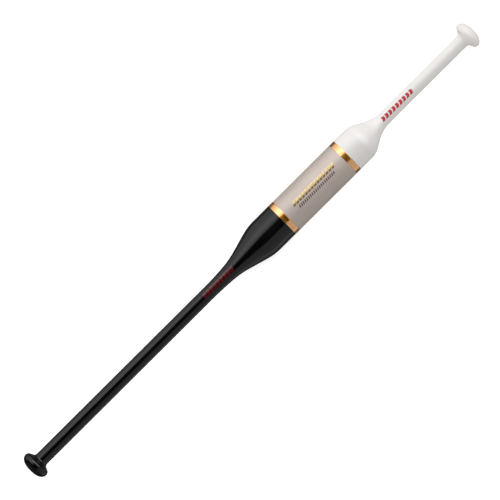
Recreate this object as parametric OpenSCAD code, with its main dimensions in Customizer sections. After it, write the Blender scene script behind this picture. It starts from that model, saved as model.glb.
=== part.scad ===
// Two-way swing trainer: a weighted barrel between a long and a short handle, each ending in a knob.
// The stick lies along X with its long end at -X. The origin is under mid-length, and z = 0 is the
// plane the barrel lies on. Millimetres.

/* [Overall] */
// Length over both knobs
total_len = 1050; // [1030:5:1150]
// Diameter of the barrel and its two rings
barrel_d = 66; // [60:0.5:70]
// Diameter of both handles
handle_d = 24.4; // [22:0.2:27]
// Wall of the grip tubes, the shoulders, the rings and the barrel sleeve
wall = 0.8; // [0.8:0.1:1.2]

/* [Barrel] */
// Long end to the near edge of the long-side ring
long_half_len = 596.5; // [585:0.1:605]
// Width of each ring
ring_w = 10.5; // [8:0.1:16]
// Length of the barrel sleeve between the rings
sleeve_len = 134; // [110:0.1:150]
// Bevel on the outer edges of the rings, the sleeve and the shoulders
seam_bevel = 0.3; // [0.1:0.05:0.5]

/* [Shoulders] */
// Long shoulder: where the handle starts to swell, from the long end
long_swell_at = 447; // [430:1:447]
// Long shoulder: where the swell turns into the cone, from the long end
long_cone_at = 486; // [485:1:500]
// Long shoulder: radius gained by the swell
long_swell_rise = 3.4; // [2:0.1:5]
// Long shoulder: where the cone meets the barrel's line, from the long end
long_top_at = 547; // [535:1:555]
// Short shoulder: where the cone leaves the handle's line, from the short end
short_cone_at = 227; // [215:0.1:235]
// Short shoulder: where the cone meets the barrel's line, from the short end
short_top_at = 262; // [252:0.1:268]

/* [Knobs] */
// Largest diameter of a knob
knob_d = 49.6; // [46:0.2:54]
// End face to the widest place of a knob
knob_rim_at = 12.9; // [11:0.1:15]
// Radius of the flat middle of the end face
knob_face_r = 6.25; // [6:0.05:10]
// Radius of the rounding behind the widest place
knob_rim_r = 7.7; // [6:0.1:9]
// Radius of the hollow between knob and handle
knob_fillet_r = 6.5; // [5:0.1:9]
// Length of the spigot that goes into the grip tube
spigot_len = 30; // [20:1:40]

/* [Weight] */
// Diameter of the steel slug
slug_d = 40; // [30:1:54]
// Length of the steel slug
slug_len = 14; // [10:1:40]
// Thickness of the rubber disc on each side of the slug
cushion_t = 7; // [5:1:12]

/* [Hidden] */
$fn = 96;

// Colours
black = "#101013";
white = "#f2f1ee";
champagne = "#b3a79f";
gold = "#c79a3a";
steel = "#8d9196";
raw_aluminium = "#c3c6c9";
rubber = "#2b2b2b";

barrel_r = barrel_d / 2;
handle_r = handle_d / 2;
// Inside of the shoulders at the barrel, and inside of the grip tubes
liner_r = barrel_r - wall;
bore_r = handle_r - wall;

// Outline bends: half the length of each rounding
long_swell_round = 23;
long_cone_round = 15;
long_top_round = 14;
short_cone_round = 17;
short_top_round = 8;
bend_steps = 10;

// Knob outline: a quarter of an ellipse up to the widest place, then an arc, a straight back and a hollow.
// back_lean is how far the straight back's normal leans from square to the axis.
back_lean = 65;
arc_steps = 10;
dome_steps = 14;
rim_c = knob_d / 2 - knob_rim_r;
// Radius lost along the straight back of the knob, and the knob's whole length on the outside
back_drop = rim_c + knob_rim_r * cos(back_lean) - handle_r - knob_fillet_r * (1 - cos(back_lean));
knob_len = knob_rim_at + (knob_rim_r + knob_fillet_r) * sin(back_lean) + back_drop / tan(back_lean);

// Screw through each knob: M6 cap screw, its washer, and the cap that hides them
screw_r = 3;
screw_head_r = 5;
screw_head_h = 6;
screw_clear_r = 3.3;
screw_len = 70;
socket_r = 2.9;
socket_depth = 3;
knob_washer_r = 5.4;
knob_washer_t = 1;
knob_plug_r = 5.6;
knob_plug_t = 2.4;
head_gap = 0.6;
counterbore = knob_plug_t + head_gap + screw_head_h + knob_washer_t;
// Threaded plug bonded in the grip tube
anchor_gap = 3;
anchor_len = 18;
anchor_at = knob_len + spigot_len + anchor_gap;

// Core tube that joins the two shoulders inside
core_wall = 1.5;
core_overlap = 28;
core_bore_r = liner_r - core_wall;
core_at = long_half_len - core_overlap;
core_len = 2 * (core_overlap + ring_w) + sleeve_len;
short_half_at = long_half_len + 2 * ring_w + sleeve_len;
short_half_len = total_len - short_half_at;

// Bulkheads in the ends of the core tube
flange_t = 2;
flange_r = liner_r - 1;
boss_len = 4;

// Tie rod, nuts and washers: M6
rod_r = 3;
rod_clear_r = 3.3;
nut_flats = 10;
nut_t = 5;
tie_washer_r = 6;
tie_washer_t = 1.6;
rod_end = 3;
spacer_r = 6;
core_mid = core_at + core_len / 2;
spacer_len = core_len / 2 - boss_len - cushion_t - slug_len / 2;

// Plain grip tubes, from each knob to where the shoulder starts
long_shoulder_at = long_swell_at - long_swell_round;
short_shoulder_at = short_cone_at - short_cone_round;

// Places the local Z axis along the stick: z = 0 is the long end's face
module from_long_end(z = 0) {
    translate([z - total_len / 2, 0, barrel_r]) rotate([0, 90, 0]) children();
}

// The same, counted from the short end's face
module from_short_end(z = 0) {
    mirror([1, 0, 0]) from_long_end(z) children();
}

// A rounded corner of an outline at b, between a and c. It reaches half to each side of b.
function bend(a, b, c, half) =
    let (
        p = b + (a - b) * half / abs(a[1] - b[1]),
        q = b + (c - b) * half / abs(c[1] - b[1])
    )
    [
        for (i = [0:bend_steps])
        let (t = i / bend_steps)
        (1 - t) * (1 - t) * p + 2 * t * (1 - t) * b + t * t * q
    ];

// An arc of an outline from normal angle a0 to a1: centre radius c, centre height z, arc radius r
function arc(c, z, r, a0, a1) =
    [for (i = [0:arc_steps]) let (a = a0 + (a1 - a0) * i / arc_steps) [c + r * cos(a), z + r * sin(a)]];

// Outer line of a shoulder as [radius, height], from its grip tube to its full width
function long_line() =
    let (
        grip = [handle_r, knob_len],
        swell = [handle_r, long_swell_at],
        cone = [handle_r + long_swell_rise, long_cone_at],
        top = [barrel_r, long_top_at],
        end = [barrel_r, long_half_len]
    )
    concat(
        bend(grip, swell, cone, long_swell_round),
        bend(swell, cone, top, long_cone_round),
        bend(cone, top, end, long_top_round)
    );

function short_line() =
    let (
        grip = [handle_r, knob_len],
        cone = [handle_r, short_cone_at],
        top = [barrel_r, short_top_at],
        end = [barrel_r, short_half_len]
    )
    concat(
        bend(grip, cone, top, short_cone_round),
        bend(cone, top, end, short_top_round)
    );

// Hollow shoulder under its outer line, with a bevelled edge at the ring
module shell(line, len) {
    edge = [[barrel_r, len - seam_bevel], [barrel_r - seam_bevel, len]];
    inside = [for (i = [len(line) - 1:-1:0]) [line[i][0] - wall, line[i][1]]];
    rotate_extrude() polygon(concat(line, edge, [[liner_r, len]], inside));
}

// Short tube with a bevel on both outer edges
module band(len) {
    rotate_extrude() polygon([
        [liner_r, 0],
        [barrel_r - seam_bevel, 0],
        [barrel_r, seam_bevel],
        [barrel_r, len - seam_bevel],
        [barrel_r - seam_bevel, len],
        [liner_r, len],
    ]);
}

// Plain tube or drilled disc
module tube(outer, inner, len) {
    difference() {
        cylinder(r = outer, h = len);
        translate([0, 0, -1]) cylinder(r = inner, h = len + 2);
    }
}

// Domed end of a knob's outline, short of its widest place
function dome() =
    [
        for (i = [0:dome_steps - 1])
        let (a = 90 * i / dome_steps)
        [knob_face_r + (knob_d / 2 - knob_face_r) * sin(a), knob_rim_at * (1 - cos(a))]
    ];

// Knob with its spigot, drilled for the screw and counterbored for its head and cap
module knob() {
    rim = arc(rim_c, knob_rim_at, knob_rim_r, 0, back_lean);
    hollow = arc(handle_r + knob_fillet_r, knob_len, -knob_fillet_r, back_lean, 0);
    spigot_end = knob_len + spigot_len;
    difference() {
        rotate_extrude() polygon(concat(
            [[0, 0]],
            dome(),
            rim,
            hollow,
            [[bore_r, knob_len], [bore_r, spigot_end], [0, spigot_end]]
        ));
        translate([0, 0, -1]) cylinder(r = screw_clear_r, h = spigot_end + 2);
        translate([0, 0, -1]) cylinder(r = knob_plug_r, h = counterbore + 1);
    }
}

// Cap that closes the counterbore flush with the knob's face
module knob_plug() {
    cylinder(r = knob_plug_r, h = knob_plug_t);
}

module knob_screw() {
    translate([0, 0, knob_plug_t + head_gap]) difference() {
        union() {
            cylinder(r = screw_head_r, h = screw_head_h);
            cylinder(r = screw_r, h = screw_head_h + screw_len);
        }
        translate([0, 0, -1]) cylinder(r = socket_r, h = socket_depth + 1, $fn = 6);
    }
}

module knob_washer() {
    translate([0, 0, counterbore - knob_washer_t]) tube(knob_washer_r, screw_clear_r, knob_washer_t);
}

module anchor() {
    translate([0, 0, anchor_at]) tube(bore_r, screw_r, anchor_len);
}

// Bulkhead standing in the core tube's mouth: flange outside, boss inside
module bulkhead() {
    difference() {
        union() {
            translate([0, 0, -flange_t]) cylinder(r = flange_r, h = flange_t);
            cylinder(r = core_bore_r, h = boss_len);
        }
        translate([0, 0, -flange_t - 1]) cylinder(r = rod_clear_r, h = flange_t + boss_len + 2);
    }
}

module tie_nut() {
    difference() {
        cylinder(d = nut_flats / cos(30), h = nut_t, $fn = 6);
        translate([0, 0, -1]) cylinder(r = rod_r, h = nut_t + 2);
    }
}

// Sets a child against the outer face of the long or the short bulkhead, standing off by t
module on_long_bulkhead(t) {
    from_long_end(core_at - flange_t - t) children();
}

module on_short_bulkhead(t) {
    from_long_end(core_at + core_len + flange_t + t) rotate([180, 0, 0]) children();
}

module long_grip_tube() {
    color(black) from_long_end(knob_len) tube(handle_r, bore_r, long_shoulder_at - knob_len);
}

module short_grip_tube() {
    color(white) from_short_end(knob_len) tube(handle_r, bore_r, short_shoulder_at - knob_len);
}

module long_shoulder() {
    color(black) from_long_end() shell(long_line(), long_half_len);
}

module short_shoulder() {
    color(white) from_short_end() shell(short_line(), short_half_len);
}

module barrel_sleeve() {
    color(champagne) from_long_end(long_half_len + ring_w) band(sleeve_len);
}

module long_ring() {
    color(gold) from_long_end(long_half_len) band(ring_w);
}

module short_ring() {
    color(gold) from_short_end(short_half_len) band(ring_w);
}

module long_knob() {
    color(black) from_long_end() knob();
}

module short_knob() {
    color(white) from_short_end() knob();
}

module long_knob_plug() {
    color(black) from_long_end() knob_plug();
}

module short_knob_plug() {
    color(white) from_short_end() knob_plug();
}

module long_anchor() {
    color(raw_aluminium) from_long_end() anchor();
}

module short_anchor() {
    color(raw_aluminium) from_short_end() anchor();
}

module knob_bolts() {
    color(steel) {
        from_long_end() knob_screw();
        from_short_end() knob_screw();
    }
}

module knob_washers() {
    color(steel) {
        from_long_end() knob_washer();
        from_short_end() knob_washer();
    }
}

module core_tube() {
    color(raw_aluminium) from_long_end(core_at) tube(liner_r, core_bore_r, core_len);
}

module long_bulkhead() {
    color(raw_aluminium) from_long_end(core_at) bulkhead();
}

module short_bulkhead() {
    color(raw_aluminium) from_short_end(total_len - core_at - core_len) bulkhead();
}

module long_spacer() {
    color(raw_aluminium) from_long_end(core_at + boss_len) tube(spacer_r, rod_clear_r, spacer_len);
}

module short_spacer() {
    color(raw_aluminium) from_long_end(core_at + core_len - boss_len - spacer_len)
        tube(spacer_r, rod_clear_r, spacer_len);
}

module long_cushion() {
    color(rubber) from_long_end(core_mid - slug_len / 2 - cushion_t)
        tube(core_bore_r, rod_clear_r, cushion_t);
}

module short_cushion() {
    color(rubber) from_long_end(core_mid + slug_len / 2) tube(core_bore_r, rod_clear_r, cushion_t);
}

module weight_slug() {
    color(steel) from_long_end(core_mid - slug_len / 2) tube(slug_d / 2, rod_clear_r, slug_len);
}

module tie_rod() {
    reach = flange_t + tie_washer_t + nut_t + rod_end;
    color(steel) from_long_end(core_at - reach) cylinder(r = rod_r, h = core_len + 2 * reach);
}

module tie_nuts() {
    color(steel) {
        on_long_bulkhead(tie_washer_t + nut_t) tie_nut();
        on_short_bulkhead(tie_washer_t + nut_t) tie_nut();
    }
}

module tie_washers() {
    color(steel) {
        on_long_bulkhead(tie_washer_t) tube(tie_washer_r, rod_clear_r, tie_washer_t);
        on_short_bulkhead(tie_washer_t) tube(tie_washer_r, rod_clear_r, tie_washer_t);
    }
}

long_grip_tube();
long_shoulder();
short_grip_tube();
short_shoulder();
barrel_sleeve();
long_ring();
short_ring();
long_knob();
short_knob();
long_knob_plug();
short_knob_plug();
long_anchor();
short_anchor();
knob_bolts();
knob_washers();
core_tube();
long_bulkhead();
short_bulkhead();
long_spacer();
short_spacer();
long_cushion();
short_cushion();
weight_slug();
tie_rod();
tie_nuts();
tie_washers();
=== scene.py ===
"""Looks of the two-ended swing trainer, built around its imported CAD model.

Metres. +X runs to the short white end, the long black end is at -X, and +Z is the side with the marks.
"""
import math

import bpy
import bmesh
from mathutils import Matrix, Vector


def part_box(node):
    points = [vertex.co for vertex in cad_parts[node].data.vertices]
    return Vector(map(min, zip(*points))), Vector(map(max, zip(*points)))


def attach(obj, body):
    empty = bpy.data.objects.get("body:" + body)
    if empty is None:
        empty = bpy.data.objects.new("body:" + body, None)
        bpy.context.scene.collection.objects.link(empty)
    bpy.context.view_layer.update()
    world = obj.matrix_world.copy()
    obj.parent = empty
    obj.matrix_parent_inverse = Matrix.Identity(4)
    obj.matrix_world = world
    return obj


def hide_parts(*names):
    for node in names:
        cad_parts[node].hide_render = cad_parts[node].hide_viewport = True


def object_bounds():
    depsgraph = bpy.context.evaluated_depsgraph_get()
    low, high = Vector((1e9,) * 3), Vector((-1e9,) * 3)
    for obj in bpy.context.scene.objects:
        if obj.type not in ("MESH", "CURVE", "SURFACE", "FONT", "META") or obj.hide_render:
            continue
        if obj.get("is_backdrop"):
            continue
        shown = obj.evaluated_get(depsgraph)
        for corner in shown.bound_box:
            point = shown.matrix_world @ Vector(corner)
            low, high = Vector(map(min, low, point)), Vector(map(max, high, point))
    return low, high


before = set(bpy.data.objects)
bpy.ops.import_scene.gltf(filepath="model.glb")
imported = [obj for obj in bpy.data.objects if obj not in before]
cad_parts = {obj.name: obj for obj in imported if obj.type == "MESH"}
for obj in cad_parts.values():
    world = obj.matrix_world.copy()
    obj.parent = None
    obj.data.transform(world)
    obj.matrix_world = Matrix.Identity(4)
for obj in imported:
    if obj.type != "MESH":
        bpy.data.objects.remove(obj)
cad_low, cad_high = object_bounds()

MM = 0.001
BODY = "root"

# ---- Places and sizes from the frame --------------------------------------------------------------
long_face = cad_low[0]
short_face = cad_high[0]
total_len = short_face - long_face
barrel_r = (cad_high[2] - cad_low[2]) / 2
axis_z = cad_low[2] + barrel_r
sleeve_low, sleeve_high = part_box("barrel_sleeve")
long_ring_low, long_ring_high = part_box("long_ring")
short_ring_low, short_ring_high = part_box("short_ring")
grip_low, grip_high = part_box("long_grip_tube")
plug_low, plug_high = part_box("long_knob_plug")
knob_low, knob_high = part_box("long_knob")
core_low, core_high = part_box("core_tube")
handle_r = (grip_high[2] - grip_low[2]) / 2
liner_r = (core_high[2] - core_low[2]) / 2
wall = barrel_r - liner_r
plug_r = (plug_high[2] - plug_low[2]) / 2
plug_t = plug_high[0] - plug_low[0]
knob_r = (knob_high[2] - knob_low[2]) / 2
knob_len = grip_low[0] - long_face
spigot_end = knob_high[0] - knob_low[0]
long_len = long_ring_low[0] - long_face
short_len = short_face - short_ring_high[0]
mid_sleeve = (sleeve_low[0] + sleeve_high[0]) / 2

# ---- Outline values, with places measured from the nearer end face --------------------------------
knob_rim_at = 12.9 * MM             # where the knob is widest
knob_face_r = 6.25 * MM             # flat middle of the knob's end
knob_rim_r = 7.7 * MM               # roundness of its rim
knob_fillet_r = 6.5 * MM            # roundness of its hollow back
back_lean = math.radians(65)        # how far rim and hollow turn before they meet
screw_clear_r = 3.3 * MM            # hole that the knob's screw passes through
counterbore = 10 * MM               # depth of the wider hole for its head and the cap
plug_seam = 0.15 * MM               # bevel where the cap meets the knob
plug_dome_share = 0.95              # how much of the cap's radius its dome takes up
seam_round = 0.3 * MM               # rounded edges at rings and sleeve
print_t = 0.06 * MM                 # how far printed marks stand up
print_sink = 0.02 * MM              # how far they reach into the surface
crease = math.radians(30)           # edges sharper than this stay sharp
weld = 1e-7                         # points closer than this become one

# How many faces the turned pieces and the caps have round the stick
TURN_FACES = 176
CAP_FACES = 64

# Bends of each shoulder: where, at what radius, and half the length of its rounding
long_bends = [
    (447 * MM, handle_r, 23 * MM),
    (486 * MM, handle_r + 3.4 * MM, 15 * MM),
    (547 * MM, barrel_r, 14 * MM),
]
short_bends = [
    (227 * MM, handle_r, 17 * MM),
    (262 * MM, barrel_r, 8 * MM),
]


# ---- Outlines: lists of (distance from the end face, radius) --------------------------------------
def bend(before, corner, after, half):
    """Points of a rounded corner that reaches half to each side of it along the stick."""
    def towards(p):
        share = half / abs(p[0] - corner[0])
        return [c + (q - c) * share for c, q in zip(corner, p)]

    pulls = (towards(before), corner, towards(after))
    steps = 16
    points = []
    for i in range(steps + 1):
        t = i / steps
        weights = (1 - t) ** 2, 2 * t * (1 - t), t * t
        points.append(tuple(sum(w * p[k] for w, p in zip(weights, pulls)) for k in (0, 1)))
    return points


def arc(centre, radius, lean_from, lean_to, steps):
    """Points of an arc, by the lean of its normal from square to the stick's axis."""
    leans = [lean_from + (lean_to - lean_from) * i / steps for i in range(steps + 1)]
    return [(centre[0] + radius * math.sin(a), centre[1] + radius * math.cos(a)) for a in leans]


def dense(points, longest=6 * MM):
    """The same line with no stretch longer than that."""
    out = [points[0]]
    for (x0, r0), (x1, r1) in zip(points, points[1:]):
        n = max(1, math.ceil(math.hypot(x1 - x0, r1 - r0) / longest))
        out += [(x0 + (x1 - x0) * i / n, r0 + (r1 - r0) * i / n) for i in range(1, n + 1)]
    return out


def shoulder_line(bends, end_x):
    """A handle's outer line, from its knob over the shoulder to the ring."""
    corners = [(knob_len, handle_r)] + [b[:2] for b in bends] + [(end_x, barrel_r)]
    line = [corners[0]]
    for i, (_, _, half) in enumerate(bends):
        line += bend(corners[i], corners[i + 1], corners[i + 2], half)
    return line


def radius_on(line, x):
    """Radius of an outer line at one place along it."""
    for (x0, r0), (x1, r1) in zip(line, line[1:]):
        if x0 <= x <= x1 and x1 > x0:
            return r0 + (r1 - r0) * (x - x0) / (x1 - x0)
    return line[-1][1]


def handle_outline(bends, end_x):
    """Closed outline of a handle: outer line, rounded edge at the ring, inner wall."""
    line = shoulder_line(bends, end_x)
    edge = arc((end_x - seam_round, barrel_r - seam_round), seam_round, 0, math.pi / 2, steps=5)
    before_edge = [(end_x - 2 * seam_round, barrel_r)]
    outside = dense(line + before_edge + edge[:1]) + edge[1:]
    inside = dense([(x, r - wall) for x, r in line[::-1]], longest=40 * MM)
    return outside + [(end_x, liner_r)] + inside


def band_outline(start, end, outer):
    """Closed outline of a ring or the sleeve, with both outer edges rounded."""
    near = arc((start + seam_round, outer - seam_round), seam_round, -math.pi / 2, 0, steps=5)
    far = arc((end - seam_round, outer - seam_round), seam_round, 0, math.pi / 2, steps=5)
    flat = [near[-1], (start + 2 * seam_round, outer), (end - 2 * seam_round, outer), far[0]]
    return [(start, liner_r)] + near[:-1] + dense(flat) + far[1:] + [(end, liner_r)]


def knob_outline():
    """Closed outline of a knob: dome, rim, hollow back, spigot, screw hole and counterbore."""
    steps = 32
    rise = knob_r - knob_face_r
    turns = [math.pi / 2 * i / steps for i in range(steps)]
    dome = [(knob_rim_at * (1 - math.cos(a)), knob_face_r + rise * math.sin(a)) for a in turns]
    inner_r = handle_r - wall
    return (
        [(plug_seam, plug_r), (0, plug_r + plug_seam)]
        + dome
        + arc((knob_rim_at, knob_r - knob_rim_r), knob_rim_r, 0, back_lean, steps=20)
        + arc((knob_len, handle_r + knob_fillet_r), -knob_fillet_r, back_lean, 0, steps=20)
        + [(knob_len, inner_r), (spigot_end, inner_r)]
        + [(spigot_end, screw_clear_r), (counterbore, screw_clear_r), (counterbore, plug_r)]
    )


def plug_outline():
    """Cap in a knob's end, very slightly domed, with a fine bevel round its edge."""
    steps = 6
    turns = [math.pi / 2 * i / steps for i in range(steps + 1)]
    dome = [(plug_seam * (1 - math.cos(a)), plug_r * plug_dome_share * math.sin(a)) for a in turns]
    return dome + [(plug_seam * 2, plug_r), (plug_t, plug_r), (plug_t, 0)]


# ---- Meshes ---------------------------------------------------------------------------------------
def finish_mesh(name, points, faces, material):
    """Makes a piece of the model from points and faces, with its sharper edges kept sharp."""
    mesh = bpy.data.meshes.new(name)
    mesh.from_pydata(points, [], faces)
    work = bmesh.new()
    work.from_mesh(mesh)
    bmesh.ops.remove_doubles(work, verts=work.verts, dist=weld)
    bmesh.ops.recalc_face_normals(work, faces=work.faces)
    work.to_mesh(mesh)
    work.free()
    mesh.polygons.foreach_set("use_smooth", [True] * len(mesh.polygons))
    mesh.set_sharp_from_angle(angle=crease)
    mesh.materials.append(material)
    piece = bpy.data.objects.new(name, mesh)
    bpy.context.scene.collection.objects.link(piece)
    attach(piece, BODY)
    return piece


def from_long(x):
    """The model's X for a distance from the long end's face."""
    return long_face + x


def from_short(x):
    """The model's X for a distance from the short end's face."""
    return short_face - x


def lathe(name, outline, place, material, nodes, segments=TURN_FACES):
    """Turns a closed outline about the stick's axis. place gives X from the outline's distance. A point
    on the axis is made once, and the faces that meet there are triangles."""
    points, rings = [], []
    for x, r in outline:
        count = segments if r > 0 else 1
        rings.append((len(points), count))
        for i in range(count):
            a = 2 * math.pi * i / segments
            points.append((place(x), r * math.sin(a), axis_z + r * math.cos(a)))
    faces = []
    for (a0, a_count), (b0, b_count) in zip(rings, rings[1:] + rings[:1]):
        for i in range(segments):
            j = (i + 1) % segments
            if a_count > 1 and b_count > 1:
                faces.append((a0 + i, a0 + j, b0 + j, b0 + i))
            elif a_count > 1:
                faces.append((a0 + i, a0 + j, b0))
            elif b_count > 1:
                faces.append((a0, b0 + j, b0 + i))
    piece = finish_mesh(name, points, faces, material)
    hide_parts(*nodes)


def printed(name, marks, line, material):
    """Thin printed marks that follow an outer line, given from the long end's face. Each mark is (start,
    width, near, far, lean, point) and becomes a closed flake: near and far are how far round the stick
    its edges lie, from the top towards -Y, its near edge is shifted by lean, and its middle by point.
    A flake has across by along faces above and below, and its rim lists the points round its edge."""
    across, along = 8, 4
    row = across + 1
    layer = (along + 1) * row
    rim = list(range(row)) + [i * row + across for i in range(1, along + 1)]
    rim += [along * row + j for j in range(across - 1, -1, -1)]
    rim += [i * row for i in range(along - 1, 0, -1)]
    points, faces = [], []
    for start, width, near, far, lean, point in marks:
        first = len(points)
        for lift in (print_t, -print_sink):
            for i in range(along + 1):
                for j in range(row):
                    v = j / across
                    x = start + width * i / along + lean * (1 - v) + point * (1 - abs(2 * v - 1))
                    r = radius_on(line, x)
                    turn = (near + (far - near) * v) / r
                    points.append((
                        from_long(x), -(r + lift) * math.sin(turn), axis_z + (r + lift) * math.cos(turn),
                    ))
        for base in (first, first + layer):
            for i in range(along):
                for j in range(across):
                    k = base + i * row + j
                    faces.append((k, k + 1, k + row + 1, k + row))
        for p, q in zip(rim, rim[1:] + rim[:1]):
            faces.append((first + p, first + q, first + layer + q, first + layer + p))
    finish_mesh(name, points, faces, material)


# ---- Materials ------------------------------------------------------------------------------------
CLEAR_IOR = 1.5                     # refractive index of lacquer and plastic, and of what coats them


def node(mat, kind, inputs=(), **settings):
    """Adds a shader node. inputs maps a socket's name or number to a value or to another socket."""
    made = mat.node_tree.nodes.new(kind)
    for key, value in settings.items():
        setattr(made, key, value)
    for key, value in dict(inputs).items():
        if isinstance(value, bpy.types.NodeSocket):
            mat.node_tree.links.new(value, made.inputs[key])
        else:
            made.inputs[key].default_value = value
    return made


def new_material(name, **values):
    """A material with its Principled shader, whose plain values are set on the shader's own sockets."""
    mat = bpy.data.materials.new(name)
    mat.use_nodes = True
    shader = mat.node_tree.nodes["Principled BSDF"]
    for key, value in values.items():
        shader.inputs[key.replace("_", " ")].default_value = value
    return mat, shader


def drive(mat, shader, name, socket):
    """Links a node's output to one of the shader's sockets."""
    mat.node_tree.links.new(socket, shader.inputs[name])


def noise(mat, scale, detail, stretch=(1, 1, 1)):
    """Noise in the model's own coordinates. scale is in cycles a metre."""
    where = node(mat, "ShaderNodeTexCoord").outputs["Object"]
    scales = [scale * s for s in stretch]
    scaled = node(mat, "ShaderNodeVectorMath", {0: where, 1: scales}, operation="MULTIPLY").outputs[0]
    inputs = {"Vector": scaled, "Scale": 1.0, "Detail": detail}
    return node(mat, "ShaderNodeTexNoise", inputs).outputs["Fac"]


def spread(mat, fac, low, high, start=0.3, end=0.7):
    """Turns noise, which lies mostly between start and end, into values from low to high."""
    return node(mat, "ShaderNodeMapRange", {
        "Value": fac, "From Min": start, "From Max": end, "To Min": low, "To Max": high,
    }).outputs["Result"]


def tint(mat, fac, base, other):
    """Mixes two colours, each a colour or a socket."""
    def ready(colour):
        return colour if isinstance(colour, bpy.types.NodeSocket) else (*colour, 1)

    mix = node(mat, "ShaderNodeMix", {0: fac, 6: ready(base), 7: ready(other)}, data_type="RGBA")
    return mix.outputs[2]


def bump(mat, shader, *layers):
    """Stacks bumps: each layer is (height socket, depth in metres)."""
    normal = None
    for height, depth in layers:
        inputs = {"Height": height, "Strength": 1.0, "Distance": depth}
        if normal is not None:
            inputs["Normal"] = normal
        normal = node(mat, "ShaderNodeBump", inputs).outputs["Normal"]
    drive(mat, shader, "Normal", normal)


def lacquer(name, dark, light, rough, coat, specular):
    """Sprayed gloss lacquer: faint cloudiness, fine orange peel, and hairline polishing marks."""
    mat, shader = new_material(
        name, IOR=CLEAR_IOR, Specular_IOR_Level=specular,
        Coat_Weight=coat, Coat_Roughness=0.05, Coat_IOR=CLEAR_IOR,
    )
    clouds = noise(mat, 14, 2)
    drive(mat, shader, "Base Color", tint(mat, spread(mat, clouds, 0, 1), dark, light))
    hairlines = noise(mat, 260, 3, (0.06, 1, 1))
    drive(mat, shader, "Roughness", spread(mat, hairlines, rough * 0.8, rough * 1.3))
    bump(mat, shader, (noise(mat, 170, 2), 0.012 * MM), (noise(mat, 1400, 1), 0.0012 * MM))
    return mat


def gloss_plastic(name, dark, light, rough, coat, specular):
    """Moulded gloss plastic, softer in its shine than lacquer: faint flow marks and a fine skin."""
    mat, shader = new_material(
        name, IOR=CLEAR_IOR, Specular_IOR_Level=specular,
        Coat_Weight=coat, Coat_Roughness=0.09, Coat_IOR=CLEAR_IOR,
    )
    flow = noise(mat, 45, 2, (0.4, 1, 1))
    drive(mat, shader, "Base Color", tint(mat, spread(mat, flow, 0, 1), dark, light))
    skin = noise(mat, 420, 3)
    drive(mat, shader, "Roughness", spread(mat, skin, rough * 0.85, rough * 1.2))
    bump(mat, shader, (flow, 0.03 * MM), (skin, 0.004 * MM))
    return mat


def champagne_metal():
    """Satin pearl finish: fine turned lines, metal flake and soft cloudiness."""
    mat, shader = new_material(
        "champagne_satin", Metallic=0.15, Specular_IOR_Level=0.5,
        Coat_Weight=1.0, Coat_Roughness=0.5, Coat_IOR=2.15,
    )
    flake = noise(mat, 2600, 1)
    lines = noise(mat, 900, 2, (1, 0.02, 0.02))
    clouds = noise(mat, 22, 2)
    pearl = tint(mat, spread(mat, clouds, 0, 1), (0.300, 0.236, 0.198), (0.330, 0.261, 0.221))
    flecked = tint(mat, spread(mat, flake, 0, 0.35, 0.45, 0.75), pearl, (0.48, 0.42, 0.38))
    drive(mat, shader, "Base Color", flecked)
    drive(mat, shader, "Roughness", spread(mat, lines, 0.46, 0.58))
    bump(mat, shader, (lines, 0.004 * MM), (flake, 0.002 * MM))
    return mat


def polished_gold():
    """Polished gold ring under a bright clear coat: fine turned lines and slight tarnish."""
    mat, shader = new_material(
        "polished_gold", Metallic=1.0, Coat_Weight=1.0, Coat_Roughness=0.08, Coat_IOR=2.8,
    )
    lines = noise(mat, 2200, 2, (1, 0.01, 0.01))
    clouds = noise(mat, 60, 3)
    tarnish = tint(mat, spread(mat, clouds, 0, 1), (0.98, 0.40, 0.03), (1.0, 0.45, 0.05))
    drive(mat, shader, "Base Color", tarnish)
    drive(mat, shader, "Roughness", spread(mat, lines, 0.23, 0.32))
    bump(mat, shader, (lines, 0.0012 * MM))
    return mat


def ink(name, dark, light, rough=0.35, metallic=0.0):
    """Printed ink or foil, a little uneven where the film is thin."""
    mat, shader = new_material(
        name, Metallic=metallic, Specular_IOR_Level=0.4, Coat_Weight=0.3, Coat_Roughness=0.05,
    )
    patch = noise(mat, 900, 3)
    drive(mat, shader, "Base Color", tint(mat, spread(mat, patch, 0, 1), dark, light))
    drive(mat, shader, "Roughness", spread(mat, patch, rough * 0.8, rough * 1.25))
    bump(mat, shader, (noise(mat, 2500, 2), 0.004 * MM))
    return mat


def turned_metal(name, dark, light, rough):
    """Bare machined metal with turned lines round the stick's axis."""
    mat, shader = new_material(name, Metallic=1.0)
    lines = noise(mat, 1800, 3, (1, 0.03, 0.03))
    drive(mat, shader, "Base Color", tint(mat, spread(mat, lines, 0, 1), dark, light))
    drive(mat, shader, "Roughness", spread(mat, lines, rough * 0.8, rough * 1.2))
    bump(mat, shader, (lines, 0.006 * MM))
    return mat


def moulded_rubber():
    """Black cushion rubber with a fine matt grain."""
    mat, shader = new_material("moulded_rubber", Specular_IOR_Level=0.3)
    grain = noise(mat, 1200, 4)
    shade = tint(mat, spread(mat, grain, 0, 1), (0.016, 0.016, 0.017), (0.03, 0.03, 0.03))
    drive(mat, shader, "Base Color", shade)
    drive(mat, shader, "Roughness", spread(mat, grain, 0.65, 0.85))
    bump(mat, shader, (grain, 0.03 * MM))
    return mat


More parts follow.
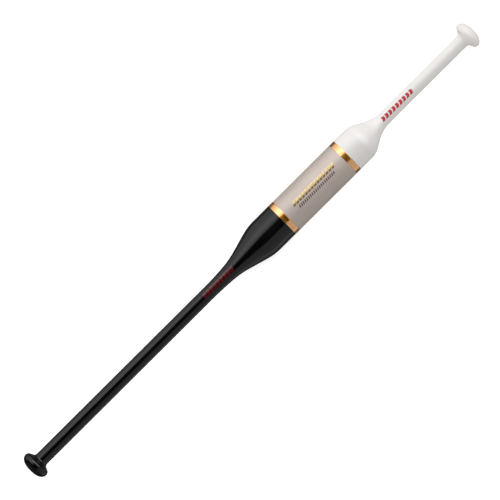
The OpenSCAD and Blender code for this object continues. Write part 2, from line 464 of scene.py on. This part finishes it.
black = lacquer(
    "black_gloss_lacquer", (0.0006, 0.0006, 0.0006), (0.0013, 0.0012, 0.0012),
    rough=0.2, coat=0.33, specular=0.25,
)
white = lacquer(
    "white_gloss_lacquer", (0.635, 0.622, 0.612), (0.668, 0.657, 0.650),
    rough=0.32, coat=0.33, specular=0.33,
)
black_plastic = gloss_plastic(
    "black_gloss_plastic", (0.0006, 0.0006, 0.0006), (0.0014, 0.0013, 0.0013),
    rough=0.28, coat=0.5, specular=0.14,
)
white_plastic = gloss_plastic(
    "white_gloss_plastic", (0.635, 0.620, 0.607), (0.668, 0.654, 0.643),
    rough=0.36, coat=0.25, specular=0.33,
)
champagne = champagne_metal()
gold = polished_gold()
red_ink = ink("red_ink", (0.36, 0.010, 0.020), (0.45, 0.016, 0.028))
dark_red_ink = ink("dark_red_ink", (0.062, 0.0015, 0.003), (0.09, 0.003, 0.0045), rough=0.2)
gold_foil = ink("gold_foil", (0.66, 0.47, 0.18), (0.78, 0.62, 0.32), rough=0.3, metallic=0.7)
# The next foil is the gold foil again in a dark bronze: painted shade for the dark overhead reflected
# where the bars turn towards the top
gold_foil_painted_shade = ink("gold_foil_painted_shade", (0.16, 0.085, 0.022), (0.24, 0.13, 0.04), metallic=0.4)
brown_ink = ink("brown_ink", (0.07, 0.037, 0.024), (0.10, 0.056, 0.04), rough=0.45)
bare_aluminium = turned_metal("turned_aluminium", (0.55, 0.56, 0.57), (0.66, 0.67, 0.68), 0.35)
bright_steel = turned_metal("turned_steel", (0.36, 0.37, 0.39), (0.48, 0.49, 0.5), 0.3)
rubber = moulded_rubber()

# ---- Visible pieces -------------------------------------------------------------------------------
long_line = shoulder_line(long_bends, long_len)
short_line = shoulder_line(short_bends, short_len)
sleeve_r = barrel_r - print_t       # so that the marks stay inside the barrel's full width

lathe("long_handle_shell", handle_outline(long_bends, long_len), from_long, black,
      ("long_grip_tube", "long_shoulder"))
lathe("short_handle_shell", handle_outline(short_bends, short_len), from_short, white,
      ("short_grip_tube", "short_shoulder"))
lathe("sleeve_shell", band_outline(sleeve_low[0] - long_face, sleeve_high[0] - long_face, sleeve_r),
      from_long, champagne, ("barrel_sleeve",))
for side, low, high in (
    ("long", long_ring_low, long_ring_high),
    ("short", short_ring_low, short_ring_high),
):
    lathe(side + "_ring_band", band_outline(low[0] - long_face, high[0] - long_face, barrel_r),
          from_long, gold, (side + "_ring",))
for side, place, paint, slot in (
    ("long", from_long, black_plastic, "black_plastic"),
    ("short", from_short, white_plastic, "white_plastic"),
):
    lathe(side + "_knob_turning", knob_outline(), place, paint, (side + "_knob",))
    lathe(side + "_knob_cap", plug_outline(), place, paint, (side + "_knob_plug",), CAP_FACES)


# ---- Printed marks: chevrons, slanted bars with a band of painted shade, and ticks, with no lettering ---
def mark_row(start, end, near, far, count, share, lean, point=0.0):
    """An even row of equal marks from start to end, in millimetres from the long end's face. share is
    how much of a pitch is inked. near, far, lean and point are as in printed, but in millimetres."""
    pitch = (end - start - lean) / count
    marks = [(start + pitch * i, pitch * share, near, far, lean, point) for i in range(count)]
    return [[size * MM for size in mark] for mark in marks]


short_line_from_long = [(total_len - x, r) for x, r in short_line[::-1]]
sleeve_line = [(0, sleeve_r), (total_len, sleeve_r)]

chevrons_on_white = mark_row(832.6, 907.2, near=-4.6, far=3.8, count=9, share=0.7, lean=1.8, point=1.6)
chevrons_on_black = mark_row(411.2, 482.8, near=-6.4, far=3.2, count=9, share=0.8, lean=1.8, point=1.6)
bars = mark_row(627.6, 726.8, near=-9.8, far=-4.4, count=14, share=0.74, lean=2.2)
# Each bar's lower band, nearest the top of the stick, is painted shade: a darker copy of the gold foil
# for the dark reflection there
bar_painted_shade = mark_row(625.4, 724.6, near=-4.3, far=-0.8, count=14, share=0.74, lean=2.2)
ticks = mark_row(632.4, 717.6, near=2.2, far=7.6, count=20, share=0.54, lean=1.4)

printed("short_handle_marks", chevrons_on_white, short_line_from_long, red_ink)
printed("long_handle_marks", chevrons_on_black, long_line, dark_red_ink)
printed("barrel_emblem", bars, sleeve_line, gold_foil)
# This band of painted shade finishes the gold bars above
printed("barrel_emblem_painted_shade", bar_painted_shade, sleeve_line, gold_foil_painted_shade)
printed("barrel_ticks", ticks, sleeve_line, brown_ink)

# ---- Inner CAD nodes, which only show where the stick is opened ------------------------------------
INNER = {
    bare_aluminium: ("core_tube", "long_bulkhead", "short_bulkhead", "long_anchor", "short_anchor",
                     "long_spacer", "short_spacer"),
    bright_steel: ("knob_bolts", "knob_washers", "weight_slug", "tie_rod", "tie_nuts", "tie_washers"),
    rubber: ("long_cushion", "short_cushion"),
}
for material, names in INNER.items():
    for name in names:
        for material_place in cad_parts[name].material_slots:
            material_place.material = material

# ---- Studio: soft panels, pale floor and dim surroundings ------------------------------------------
PANEL_DISTANCE = 2.0                # from the stick's axis
# The long panels run from LOW_END, and the key panel from KEY_LOW_END, to HIGH_END along X
LOW_END = -1.85
KEY_LOW_END = -1.45
HIGH_END = 2.15


def area_light(name, place, turns, length, width, radiance, gloss, diffuse):
    """An area light that the camera doesn't see, turned about X, Y and Z. gloss and diffuse say whether
    it shows in gloss and whether it lights matt faces."""
    data = bpy.data.lights.new(name, "AREA")
    data.shape = "RECTANGLE"
    data.size, data.size_y = length, width
    data.energy = radiance * math.pi * length * width
    light = bpy.data.objects.new(name, data)
    light.location = place
    light.rotation_euler = turns
    light.visible_camera = False
    light.visible_glossy = gloss
    light.visible_diffuse = diffuse
    bpy.context.scene.collection.objects.link(light)


def panel_span(start, end, distance):
    """The turn of a panel's middle, and its width, from its two edges in degrees from straight above."""
    return math.radians((start + end) / 2), 2 * distance * math.tan(math.radians((end - start) / 2))


def softbox(
    name, start, end, radiance, distance=PANEL_DISTANCE, low_end=LOW_END, gloss=True, diffuse=False,
):
    """A long panel beside the stick, its edges in degrees from straight above towards -Y, which starts
    at low_end along X."""
    turn, width = panel_span(start, end, distance)
    middle = (HIGH_END + low_end) / 2
    place = (middle, -distance * math.sin(turn), axis_z + distance * math.cos(turn))
    area_light(name, place, (turn, 0, 0), HIGH_END - low_end, width, radiance, gloss, diffuse)


def end_panel(name, start, end, radiance, width, middle=0.0, gloss=True, diffuse=True):
    """A panel past an end of the stick, its edges in degrees from straight above the sleeve towards +X.
    width is its size along Y, and middle is where its middle lies there."""
    turn, length = panel_span(start, end, PANEL_DISTANCE)
    reach = PANEL_DISTANCE * math.sin(turn)
    place = (mid_sleeve + reach, middle, axis_z + PANEL_DISTANCE * math.cos(turn))
    area_light(name, place, (0, turn, 0), length, width, radiance, gloss, diffuse)


# What shows in gloss: on the +Y side the key panel in three strips, brightest in its middle, and a low
# panel, on the -Y side two weaker ones, a faint one from below, and a card past each end
softbox("key_panel_near", -34, -21, 1.3, low_end=KEY_LOW_END)
softbox("key_panel_middle", -62, -34, 2.0, low_end=KEY_LOW_END)
softbox("key_panel_far", -84, -62, 1.3, low_end=KEY_LOW_END)
softbox("low_panel", -114, -84, 0.85)
softbox("right_panel", 30, 96, 0.5, distance=1.2)
softbox("right_rim_panel", 98, 120, 0.65)
softbox("under_panel", 120, 246, 0.11)
end_panel("end_card", 19, 64, 3.0, width=2.7, middle=0.4, diffuse=False)
end_panel("far_end_card", -118, -68, 0.14, width=1.8, diffuse=False)
# What lights matt faces: the key light, a weak one overhead, one towards the white end, and low fills
softbox("key_light", -84, -21, 1.2, gloss=False, diffuse=True)
softbox("overhead_light", -30, 30, 0.26, gloss=False, diffuse=True)
end_panel("end_light", 12, 55, 1.3, width=1.8, gloss=False)
end_panel("end_fill", 60, 110, 1.0, width=1.8, gloss=False)
end_panel("far_end_fill", -110, -60, 1.1, width=1.8, gloss=False)

# The floor isn't mirrored in the stick, so that the panels below it show, and it lets their light past
FLOOR_REACH = 30.0
corners = [(x * FLOOR_REACH, y * FLOOR_REACH, 0) for x, y in ((-1, -1), (1, -1), (1, 1), (-1, 1))]
floor_mesh = bpy.data.meshes.new("floor")
floor_mesh.from_pydata(corners, [], [(0, 1, 2, 3)])
floor = bpy.data.objects.new("floor", floor_mesh)
floor.location.z = cad_low[2]
bpy.context.scene.collection.objects.link(floor)
floor.visible_glossy = False
floor.visible_shadow = False
paper, paper_shader = new_material(
    "pale_paper", Roughness=0.9, Specular_IOR_Level=0.1, Emission_Strength=0.6,
)
fibre = tint(paper, noise(paper, 3, 2), (0.86, 0.86, 0.86), (0.88, 0.88, 0.88))
drive(paper, paper_shader, "Base Color", fibre)
paper_shader.inputs["Emission Color"].default_value = (1, 0.985, 0.97, 1)
floor_mesh.materials.append(paper)
floor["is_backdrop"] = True

# The surroundings are bright to the camera, softer as light, and nearly black in gloss
SEEN_STRENGTH = 1.2
LIGHT_STRENGTH = 0.37
GLOSS_STRENGTH = 0.01
world = bpy.data.worlds.new("studio")
bpy.context.scene.world = world
world.use_nodes = True
background = world.node_tree.nodes["Background"]
ray = node(world, "ShaderNodeLightPath").outputs
seen_or_light = node(world, "ShaderNodeMix", {
    0: ray["Is Camera Ray"], 2: LIGHT_STRENGTH, 3: SEEN_STRENGTH,
}, data_type="FLOAT").outputs[0]
strength = node(world, "ShaderNodeMix", {
    0: ray["Is Glossy Ray"], 2: seen_or_light, 3: GLOSS_STRENGTH,
}, data_type="FLOAT").outputs[0]
background.inputs["Color"].default_value = (1, 0.965, 0.935, 1)
world.node_tree.links.new(strength, background.inputs["Strength"])

# ---- Camera: straight above, turned so that the stick rises to the right ----------------------------
CAMERA_HEIGHT = 7.0067              # above the stick's axis
CAMERA_LENS = 300                   # long, so that the view has almost no perspective
CAMERA_TURN = math.radians(44.85)
# How far the camera stands from the middle of the stick, as seen in the picture
OFFSET_RIGHT = -2.98 * MM
OFFSET_UP = 0.15 * MM

scene = bpy.context.scene
scene.view_settings.view_transform = "Standard"
right = (math.cos(CAMERA_TURN), -math.sin(CAMERA_TURN))
up = (math.sin(CAMERA_TURN), math.cos(CAMERA_TURN))
camera_data = bpy.data.cameras.new("camera")
camera_data.lens = CAMERA_LENS
camera_data.clip_end = 100
camera = bpy.data.objects.new("camera", camera_data)
camera.location = (
    (cad_low[0] + cad_high[0]) / 2 + right[0] * OFFSET_RIGHT + up[0] * OFFSET_UP,
    (cad_low[1] + cad_high[1]) / 2 + right[1] * OFFSET_RIGHT + up[1] * OFFSET_UP,
    axis_z + CAMERA_HEIGHT,
)
camera.rotation_euler = (0, 0, -CAMERA_TURN)
scene.collection.objects.link(camera)
scene.camera = camera

low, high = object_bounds()
